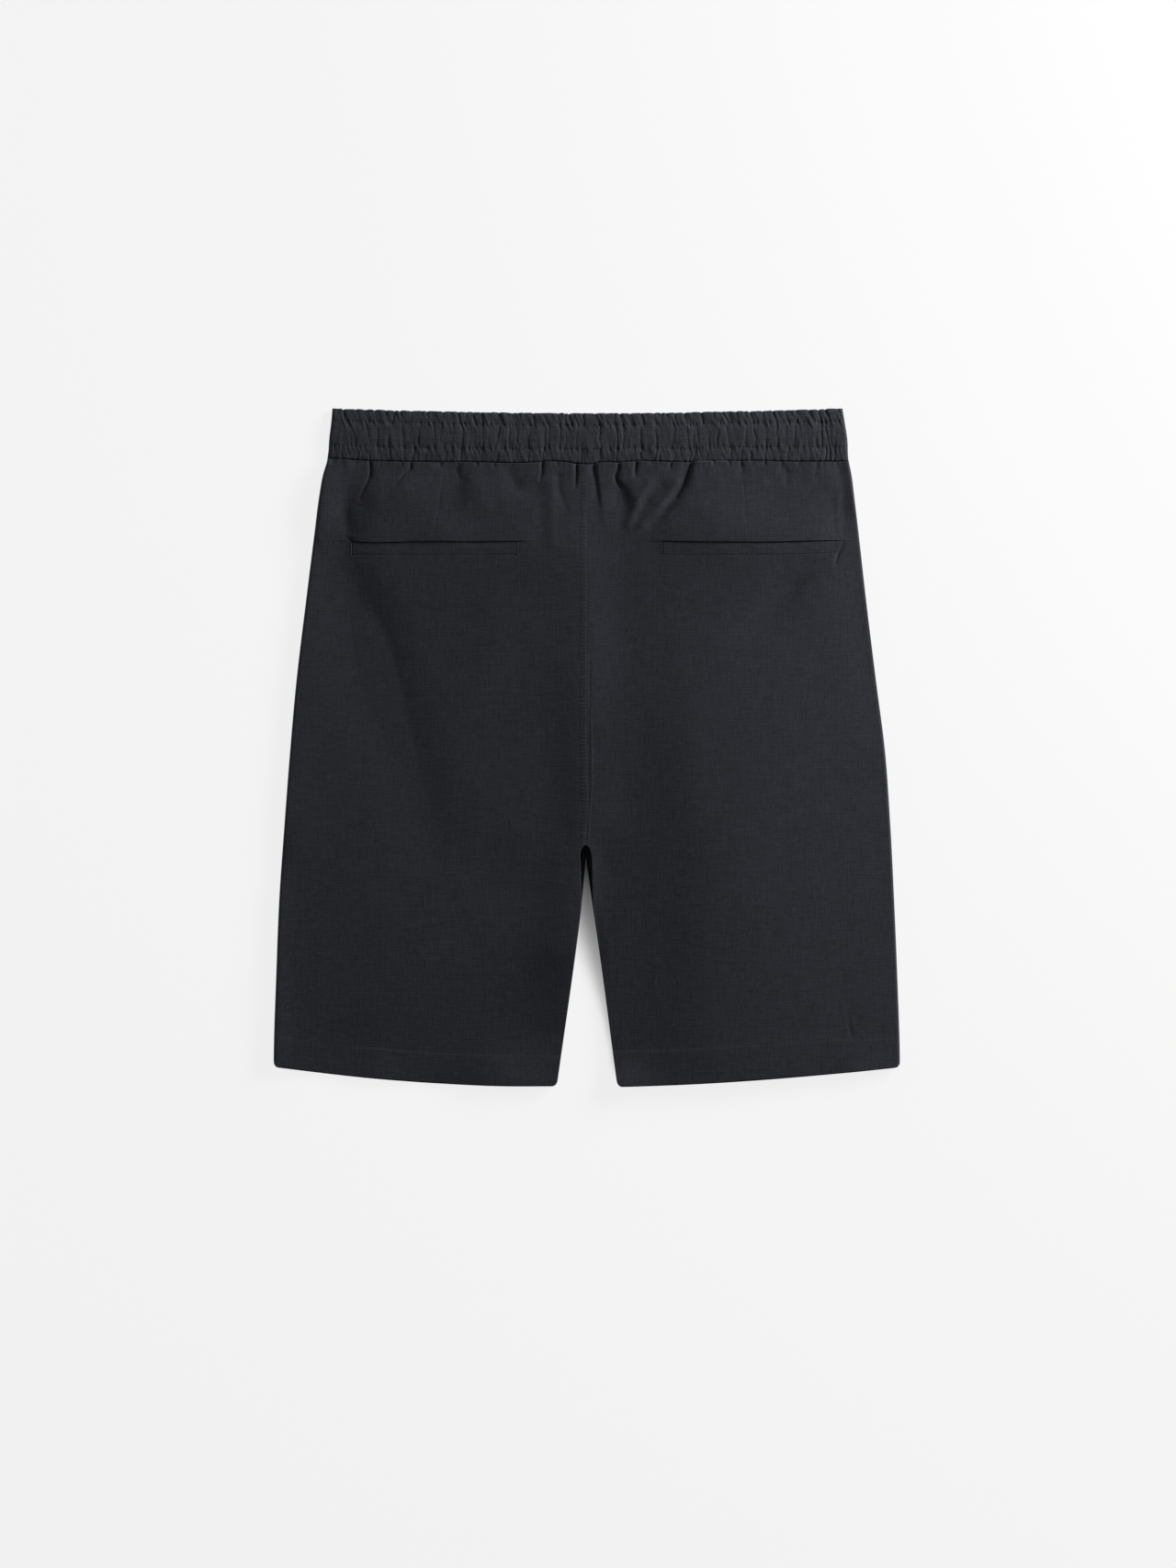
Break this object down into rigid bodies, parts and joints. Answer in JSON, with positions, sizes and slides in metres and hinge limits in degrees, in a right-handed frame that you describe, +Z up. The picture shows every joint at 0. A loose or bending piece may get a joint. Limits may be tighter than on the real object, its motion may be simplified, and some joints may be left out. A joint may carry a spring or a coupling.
{
  "type": "bermuda shorts laid flat",
  "caption": "Elastic-waist linen bermuda shorts laid flat with the back side up, with gathered waistband, back darts and welt pockets.",
  "frame": {"origin": "middle of the garment's outline, on the surface it lies on", "axes": "+X to the right of the garment seen from above, +Y from the hems to the waist, +Z up"},
  "size_m": [0.4905, 0.5305, 0.0068],
  "materials": {
    "linen": "matt dark navy plain-weave linen blend",
    "linen_waistband": "matt dark navy linen blend gathered by elastic",
    "thread": "dark navy polyester sewing thread"
  },
  "bodies": {
    "root": {"back_panel_left": "linen", "back_panel_right": "linen", "front_panel_left": "linen", "front_panel_right": "linen", "waistband_back": "linen_waistband", "waistband_front": "linen_waistband", "back_pocket_welt_left": "linen", "back_pocket_welt_right": "linen"}
  },
  "joints": []
}
